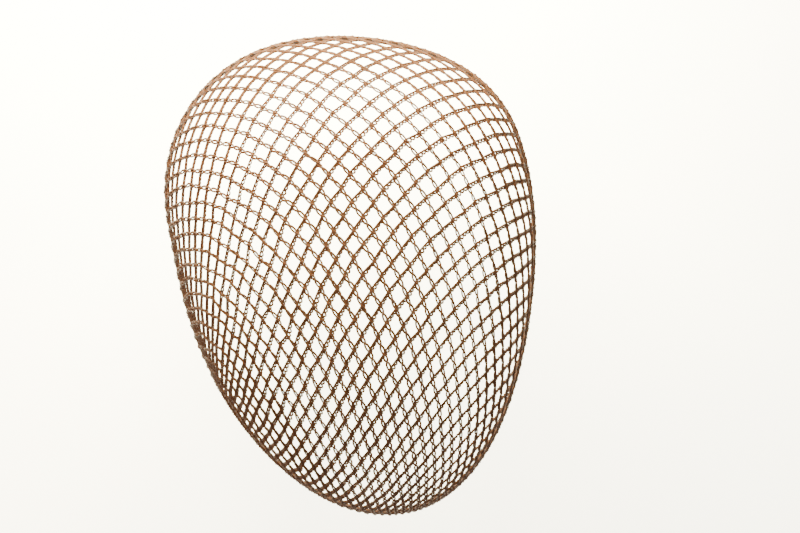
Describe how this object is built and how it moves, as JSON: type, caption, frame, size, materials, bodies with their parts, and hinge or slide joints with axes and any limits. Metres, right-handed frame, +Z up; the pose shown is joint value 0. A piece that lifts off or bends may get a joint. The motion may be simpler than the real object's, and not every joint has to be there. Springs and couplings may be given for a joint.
{
  "type": "hairnet",
  "caption": "Brown diamond-mesh hairnet in its worn, head-shaped form, open underneath, with an elastic hem around the opening.",
  "frame": {"origin": "under the crown, where the top of a head bears on the net", "axes": "+Z up out of the crown, -Y towards the forehead, +Y towards the nape, +X to the wearer's left"},
  "size_m": [0.1551, 0.2065, 0.1053],
  "materials": {
    "net_yarn": "fine knitted brown yarn with a slight sheen",
    "hem_elastic": "slim covered elastic, wrapped in dark brown yarn"
  },
  "bodies": {
    "root": {"net": "net_yarn", "elastic_hem": "hem_elastic"}
  },
  "joints": []
}
